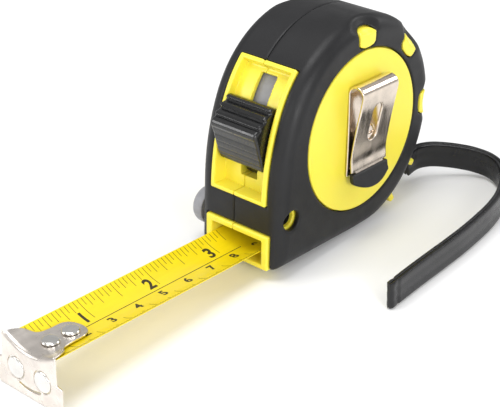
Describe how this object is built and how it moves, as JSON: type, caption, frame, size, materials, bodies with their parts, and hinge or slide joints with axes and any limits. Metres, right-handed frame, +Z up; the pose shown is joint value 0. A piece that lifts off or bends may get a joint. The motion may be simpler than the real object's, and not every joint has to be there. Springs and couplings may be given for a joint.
{
  "type": "tape measure",
  "caption": "Pocket tape measure with a rubber-jacketed case, pulled-out printed blade, magnetic end hook, thumb lock, side brake, belt clip and wrist strap.",
  "frame": {"origin": "bottom centre of the tape's bounding box, strap left out: mid-plane of the case at floor level, halfway between the hook's face and the case's back", "axes": "+Z up, the blade leaves towards -Y, the belt clip is on +X; the tape stands on its heel and on the hook's lip, its front tilted up 4.25 degrees"},
  "size_m": [0.0736, 0.1776, 0.0708],
  "materials": {
    "yellow_plastic": "smooth moulded ABS",
    "black_rubber": "satin overmoulded elastomer",
    "steel": "plain",
    "black_plastic": "fine moulded texture",
    "blade_enamel": "yellow enamel with a printed scale",
    "plated_steel": "bright nickel plate",
    "magnet_nickel": "nickel-plated magnet",
    "button_black": "smooth moulded, ribbed",
    "grey_plastic": "satin moulded",
    "polished_steel": "polished spring steel",
    "black_screw": "black oxide",
    "strap_webbing": "doubled coated ribbon"
  },
  "bodies": {
    "case": {"case_right": "yellow_plastic", "case_left": "yellow_plastic", "jacket_right": "black_rubber", "jacket_left": "black_rubber", "spindle": "steel", "belt_clip": "polished_steel", "clip_tip_cap": "black_plastic", "clip_screw": "steel", "case_screw": "black_screw", "strap_pin": "steel", "wrist_strap": "strap_webbing"},
    "reel": {"drum": "black_plastic", "wound_blade": "blade_enamel", "power_spring": "steel", "spring_cover": "black_plastic"},
    "blade": {"blade": "blade_enamel", "hook_rivet_front": "steel", "hook_rivet_rear": "steel"},
    "hook": {"end_hook": "plated_steel", "hook_magnet_left": "magnet_nickel", "hook_magnet_right": "magnet_nickel"},
    "lock": {"lock_button": "button_black", "lock_slider": "grey_plastic", "lock_pad": "black_rubber"},
    "side_brake": {"side_brake_button": "grey_plastic", "side_brake_spring": "steel"}
  },
  "joints": [
    {"name": "blade_slide", "type": "slide", "parent": "case", "child": "blade", "axis": [0, 0.9972, -0.0741], "range_m": [0, 0.08], "deforming": ["blade"]},
    {"name": "reel_spin", "type": "hinge", "parent": "case", "child": "reel", "pos_m": [0, 0.04433, 0.03526], "axis": [1, 0, 0], "range_deg": [0, 190]},
    {"name": "hook_float", "type": "slide", "parent": "blade", "child": "hook", "axis": [0, 0.9972, -0.0741], "range_m": [0, 0.0008]},
    {"name": "lock_slide", "type": "hinge", "parent": "case", "child": "lock", "pos_m": [0, 0.04433, 0.03526], "axis": [1, 0, 0], "range_deg": [-12, 0]},
    {"name": "side_brake_press", "type": "slide", "parent": "case", "child": "side_brake", "axis": [1, 0, 0], "range_m": [0, 0.0022], "stiffness_N_per_m": 300, "deforming": ["side_brake_spring"]}
  ],
  "couplings": [
    {"joint": "reel_spin", "follows": "blade_slide", "rad_per_m": 40.65}
  ]
}
